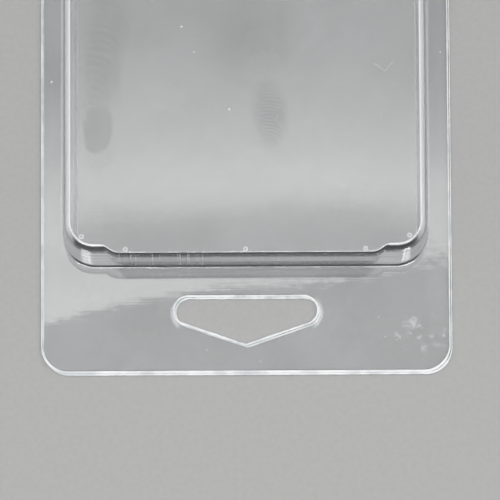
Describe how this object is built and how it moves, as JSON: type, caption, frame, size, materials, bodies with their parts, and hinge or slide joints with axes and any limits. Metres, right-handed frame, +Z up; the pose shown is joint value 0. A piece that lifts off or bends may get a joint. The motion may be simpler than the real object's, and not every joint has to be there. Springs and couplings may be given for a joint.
{
  "type": "plastic clamshell pack",
  "caption": "Clear thermoformed clamshell pack with a shallow rectangular cavity, a folded end and a hang tab with a pointed hang hole.",
  "frame": {"origin": "centre of the closed pack's footprint, on the surface that it lies on", "axes": "+X across the width, +Y from the hang tab to the fold, +Z up out of the cavity's face"},
  "size_m": [0.092, 0.18, 0.0129],
  "materials": {
    "clear_sheet": "clear, glossy, with frosted cut edges"
  },
  "bodies": {
    "back": {"back_shell": "clear_sheet", "living_hinge": "clear_sheet"},
    "front": {"front_shell": "clear_sheet"}
  },
  "joints": [
    {"name": "front_fold", "type": "hinge", "parent": "back", "child": "front", "pos_m": [0, 0.0896, 0.0004], "axis": [-1, 0, 0], "range_deg": [0, 120], "deforming": ["living_hinge"]}
  ]
}
